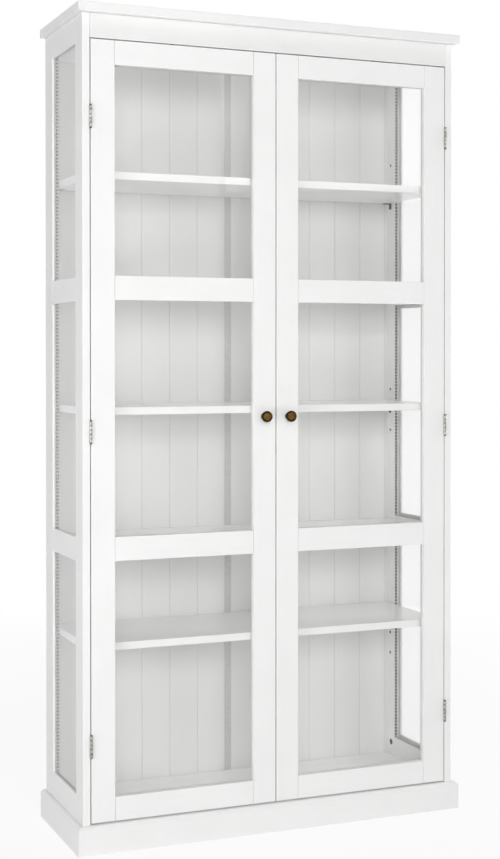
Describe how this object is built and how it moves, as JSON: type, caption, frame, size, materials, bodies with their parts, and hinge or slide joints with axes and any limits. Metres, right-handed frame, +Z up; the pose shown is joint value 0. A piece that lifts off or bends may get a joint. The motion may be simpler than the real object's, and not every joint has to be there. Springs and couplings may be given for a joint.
{
  "type": "display cabinet",
  "caption": "Tall free-standing display cabinet with a pair of glazed hinged doors, glazed sides, fixed and adjustable shelves, a grooved back, a plinth and an overhanging top.",
  "frame": {"origin": "centre of the bounding box at floor level, under the middle of the cabinet", "axes": "+Z up, +X to the right seen from the front, and the doors face -Y, so the wall side is +Y"},
  "size_m": [0.992, 0.352, 1.95],
  "materials": {
    "white_lacquer": "satin white paint on board",
    "white_backing": "matt white faced hardboard",
    "clear_glass": "clear polished float glass",
    "pale_strip": "matt extruded plastic",
    "hinge_steel": "zinc plated",
    "dark_steel": "blackened",
    "aged_bronze": "antique bronze"
  },
  "bodies": {
    "cabinet": {"top_panel": "white_lacquer", "header_rail": "white_lacquer", "rear_top_rail": "white_lacquer", "plinth_rear": "white_lacquer", "floor_panel": "white_lacquer", "lower_fixed_shelf": "white_lacquer", "upper_fixed_shelf": "white_lacquer", "lower_shelf": "white_lacquer", "middle_shelf": "white_lacquer", "upper_shelf": "white_lacquer", "plinth_front": "white_lacquer", "plinth_left": "white_lacquer", "plinth_right": "white_lacquer", "left_side_frame": "white_lacquer", "right_side_frame": "white_lacquer", "back_panel_left": "white_backing", "back_panel_right": "white_backing", "back_joint_strip": "pale_strip", "left_side_lower_pane": "clear_glass", "left_side_middle_pane": "clear_glass", "left_side_upper_pane": "clear_glass", "right_side_lower_pane": "clear_glass", "right_side_middle_pane": "clear_glass", "right_side_upper_pane": "clear_glass", "lower_shelf_support_left_front": "dark_steel", "lower_shelf_support_left_rear": "dark_steel", "lower_shelf_support_right_front": "dark_steel", "lower_shelf_support_right_rear": "dark_steel", "middle_shelf_support_left_front": "dark_steel", "middle_shelf_support_left_rear": "dark_steel", "middle_shelf_support_right_front": "dark_steel", "middle_shelf_support_right_rear": "dark_steel", "upper_shelf_support_left_front": "dark_steel", "upper_shelf_support_left_rear": "dark_steel", "upper_shelf_support_right_front": "dark_steel", "upper_shelf_support_right_rear": "dark_steel", "left_lower_hinge_frame_leaf": "hinge_steel", "left_middle_hinge_frame_leaf": "hinge_steel", "left_upper_hinge_frame_leaf": "hinge_steel", "right_lower_hinge_frame_leaf": "hinge_steel", "right_middle_hinge_frame_leaf": "hinge_steel", "right_upper_hinge_frame_leaf": "hinge_steel"},
    "left_door": {"left_door_frame": "white_lacquer", "left_door_lower_pane": "clear_glass", "left_door_middle_pane": "clear_glass", "left_door_upper_pane": "clear_glass", "left_knob": "aged_bronze", "left_knob_screw": "hinge_steel", "left_lower_hinge_door_leaf": "hinge_steel", "left_middle_hinge_door_leaf": "hinge_steel", "left_upper_hinge_door_leaf": "hinge_steel"},
    "right_door": {"right_door_frame": "white_lacquer", "right_door_lower_pane": "clear_glass", "right_door_middle_pane": "clear_glass", "right_door_upper_pane": "clear_glass", "right_knob": "aged_bronze", "right_knob_screw": "hinge_steel", "right_lower_hinge_door_leaf": "hinge_steel", "right_middle_hinge_door_leaf": "hinge_steel", "right_upper_hinge_door_leaf": "hinge_steel"}
  },
  "joints": [
    {"name": "left_door_hinge", "type": "hinge", "parent": "cabinet", "child": "left_door", "pos_m": [-0.46225, -0.1555, 0.9695], "axis": [0, 0, -1], "range_deg": [0, 180]},
    {"name": "right_door_hinge", "type": "hinge", "parent": "cabinet", "child": "right_door", "pos_m": [0.46225, -0.1555, 0.9695], "axis": [0, 0, 1], "range_deg": [0, 180]}
  ]
}
